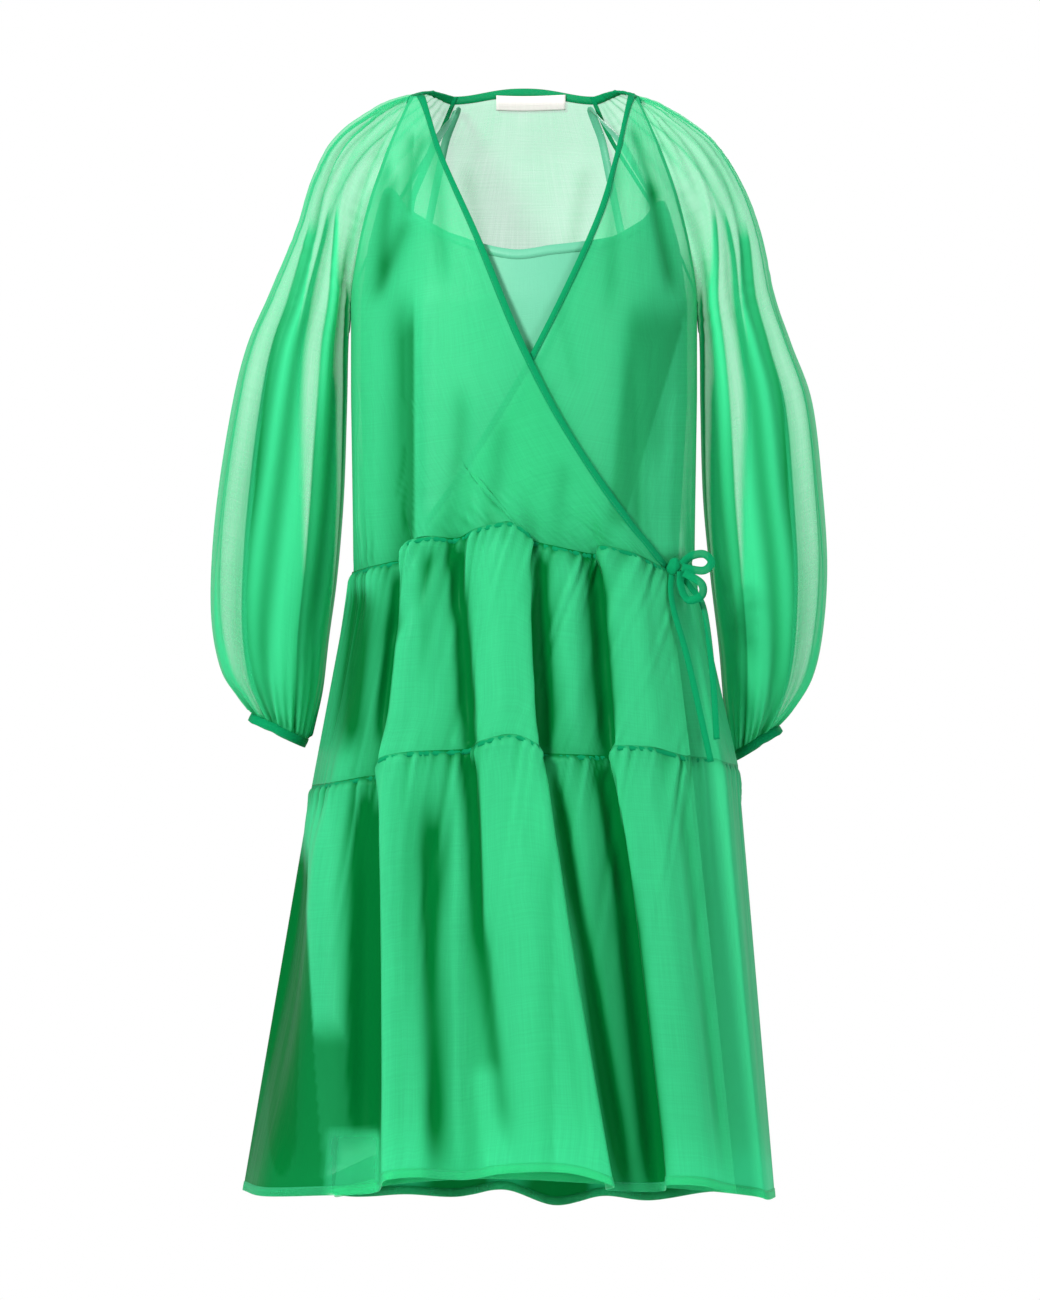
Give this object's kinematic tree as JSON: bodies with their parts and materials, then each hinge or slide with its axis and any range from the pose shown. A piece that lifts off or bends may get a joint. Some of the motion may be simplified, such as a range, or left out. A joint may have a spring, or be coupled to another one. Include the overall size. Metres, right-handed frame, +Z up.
{
  "type": "wrap midi dress with a slip",
  "caption": "Sheer emerald organza wrap midi dress in gathered tiers, with raglan balloon sleeves, a ribbon tie and an opaque mint slip, shown filled out and hollow",
  "frame": {"origin": "middle of the neck opening at shoulder height, where the dress rests on a wearer or a hanger", "axes": "+Z up, the front faces -Y, +X to the wearer's left"},
  "size_m": [0.6179, 0.401, 1.1403],
  "materials": {
    "organza": "sheer silk organza, emerald, soft sheen",
    "slip_satin": "opaque satin, mint, soft sheen",
    "label_tape": "woven tape, blank, matt"
  },
  "bodies": {
    "root": {"bodice_front_over": "organza", "bodice_front_under": "organza", "bodice_back": "organza", "waist_tier_front_over": "organza", "waist_tier_front_under": "organza", "waist_tier_back": "organza", "hem_tier_front_over": "organza", "hem_tier_front_under": "organza", "hem_tier_back": "organza", "sleeve_right": "organza", "sleeve_left": "organza", "cuff_right": "organza", "cuff_left": "organza", "neck_binding_over": "organza", "neck_binding_under": "organza", "neck_binding_back": "organza", "slip_front": "slip_satin", "slip_back": "slip_satin", "slip_neck_binding": "slip_satin", "slip_strap_right": "slip_satin", "slip_strap_left": "slip_satin", "label_blank": "label_tape", "tie_knot": "organza", "tie_loop_upper": "organza", "tie_loop_lower": "organza", "tie_tail_long": "organza", "tie_tail_short": "organza"}
  },
  "joints": []
}
